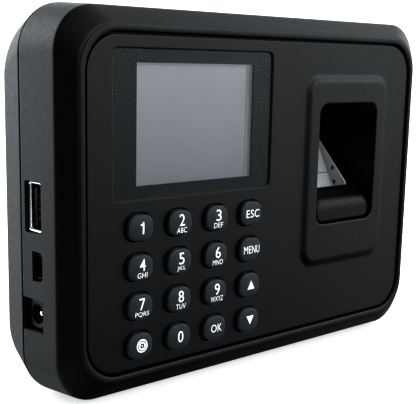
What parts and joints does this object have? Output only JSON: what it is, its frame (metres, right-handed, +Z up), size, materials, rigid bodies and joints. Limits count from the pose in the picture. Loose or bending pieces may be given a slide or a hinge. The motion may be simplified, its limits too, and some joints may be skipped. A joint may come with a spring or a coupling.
{
  "type": "fingerprint scanner terminal",
  "caption": "Black wall-mounted attendance terminal: inset front panel with display lens, rubber keypad and recessed fingerprint reader, side sockets, two-part shell.",
  "frame": {"origin": "centre of the flat rear face that lies on the wall", "axes": "+Y into the wall, +Z up, +X to the right of a person who faces the terminal"},
  "size_m": [0.1734, 0.0348, 0.1224],
  "materials": {
    "case_plastic": "fine matte texture, near black",
    "panel_plastic": "fine matte texture, near black",
    "reader_plastic": "smooth satin, near black",
    "lens": "acrylic with a dark printed border and a clear window",
    "tape": "black foam tape",
    "lcd": "unlit liquid crystal panel, pale blue grey",
    "white_plastic": "white moulded plastic",
    "steel": "plated steel",
    "flex": "amber flexible circuit",
    "key_rubber": "dark grey silicone with white printed legends",
    "mat_rubber": "dark grey silicone",
    "carbon": "carbon contact",
    "board": "green printed circuit board",
    "chip": "black moulded package",
    "socket_plastic": "cream insulator",
    "black_plastic": "black moulded plastic",
    "pin_metal": "bright plated metal",
    "prism": "bright optical glass with a frosted finger face",
    "bracket": "satin sheet metal",
    "led": "clear lamp"
  },
  "bodies": {
    "terminal": {"front_shell": "case_plastic", "rear_cover": "case_plastic", "front_panel": "panel_plastic", "sensor_housing": "reader_plastic", "finger_rest": "reader_plastic", "display_lens": "lens", "lens_tape": "tape", "lcd_glass": "lcd", "lcd_backlight": "white_plastic", "lcd_holder": "white_plastic", "lcd_bezel": "steel", "case_screws": "steel", "board_screws": "steel", "reader_screws": "steel", "usb_a_shell": "steel", "mini_usb_shell": "steel", "lcd_flex": "flex", "sensor_ribbon": "flex", "keypad_mat": "mat_rubber", "key_contacts": "carbon", "main_board": "board", "sensor_board": "board", "board_chips": "chip", "sensor_camera": "chip", "speaker": "chip", "usb_a_tongue": "socket_plastic", "mini_usb_tongue": "socket_plastic", "dc_jack_body": "black_plastic", "battery_holder": "black_plastic", "dc_jack_pin": "pin_metal", "clock_battery": "pin_metal", "sensor_prism": "prism", "sensor_bracket": "bracket", "sensor_leds": "led"},
    "key_1": {"key_1": "key_rubber"},
    "key_2": {"key_2": "key_rubber"},
    "key_3": {"key_3": "key_rubber"},
    "key_esc": {"key_esc": "key_rubber"},
    "key_4": {"key_4": "key_rubber"},
    "key_5": {"key_5": "key_rubber"},
    "key_6": {"key_6": "key_rubber"},
    "key_menu": {"key_menu": "key_rubber"},
    "key_7": {"key_7": "key_rubber"},
    "key_8": {"key_8": "key_rubber"},
    "key_9": {"key_9": "key_rubber"},
    "key_up": {"key_up": "key_rubber"},
    "key_power": {"key_power": "key_rubber"},
    "key_0": {"key_0": "key_rubber"},
    "key_ok": {"key_ok": "key_rubber"},
    "key_down": {"key_down": "key_rubber"}
  },
  "joints": [
    {"name": "key_1_press", "type": "slide", "parent": "terminal", "child": "key_1", "axis": [0, 1, 0], "range_m": [0, 0.0011], "stiffness_N_per_m": 300, "springref_m": -0.001},
    {"name": "key_2_press", "type": "slide", "parent": "terminal", "child": "key_2", "axis": [0, 1, 0], "range_m": [0, 0.0011], "stiffness_N_per_m": 300, "springref_m": -0.001},
    {"name": "key_3_press", "type": "slide", "parent": "terminal", "child": "key_3", "axis": [0, 1, 0], "range_m": [0, 0.0011], "stiffness_N_per_m": 300, "springref_m": -0.001},
    {"name": "key_esc_press", "type": "slide", "parent": "terminal", "child": "key_esc", "axis": [0, 1, 0], "range_m": [0, 0.0011], "stiffness_N_per_m": 300, "springref_m": -0.001},
    {"name": "key_4_press", "type": "slide", "parent": "terminal", "child": "key_4", "axis": [0, 1, 0], "range_m": [0, 0.0011], "stiffness_N_per_m": 300, "springref_m": -0.001},
    {"name": "key_5_press", "type": "slide", "parent": "terminal", "child": "key_5", "axis": [0, 1, 0], "range_m": [0, 0.0011], "stiffness_N_per_m": 300, "springref_m": -0.001},
    {"name": "key_6_press", "type": "slide", "parent": "terminal", "child": "key_6", "axis": [0, 1, 0], "range_m": [0, 0.0011], "stiffness_N_per_m": 300, "springref_m": -0.001},
    {"name": "key_menu_press", "type": "slide", "parent": "terminal", "child": "key_menu", "axis": [0, 1, 0], "range_m": [0, 0.0011], "stiffness_N_per_m": 300, "springref_m": -0.001},
    {"name": "key_7_press", "type": "slide", "parent": "terminal", "child": "key_7", "axis": [0, 1, 0], "range_m": [0, 0.0011], "stiffness_N_per_m": 300, "springref_m": -0.001},
    {"name": "key_8_press", "type": "slide", "parent": "terminal", "child": "key_8", "axis": [0, 1, 0], "range_m": [0, 0.0011], "stiffness_N_per_m": 300, "springref_m": -0.001},
    {"name": "key_9_press", "type": "slide", "parent": "terminal", "child": "key_9", "axis": [0, 1, 0], "range_m": [0, 0.0011], "stiffness_N_per_m": 300, "springref_m": -0.001},
    {"name": "key_up_press", "type": "slide", "parent": "terminal", "child": "key_up", "axis": [0, 1, 0], "range_m": [0, 0.0011], "stiffness_N_per_m": 300, "springref_m": -0.001},
    {"name": "key_power_press", "type": "slide", "parent": "terminal", "child": "key_power", "axis": [0, 1, 0], "range_m": [0, 0.0011], "stiffness_N_per_m": 300, "springref_m": -0.001},
    {"name": "key_0_press", "type": "slide", "parent": "terminal", "child": "key_0", "axis": [0, 1, 0], "range_m": [0, 0.0011], "stiffness_N_per_m": 300, "springref_m": -0.001},
    {"name": "key_ok_press", "type": "slide", "parent": "terminal", "child": "key_ok", "axis": [0, 1, 0], "range_m": [0, 0.0011], "stiffness_N_per_m": 300, "springref_m": -0.001},
    {"name": "key_down_press", "type": "slide", "parent": "terminal", "child": "key_down", "axis": [0, 1, 0], "range_m": [0, 0.0011], "stiffness_N_per_m": 300, "springref_m": -0.001}
  ]
}
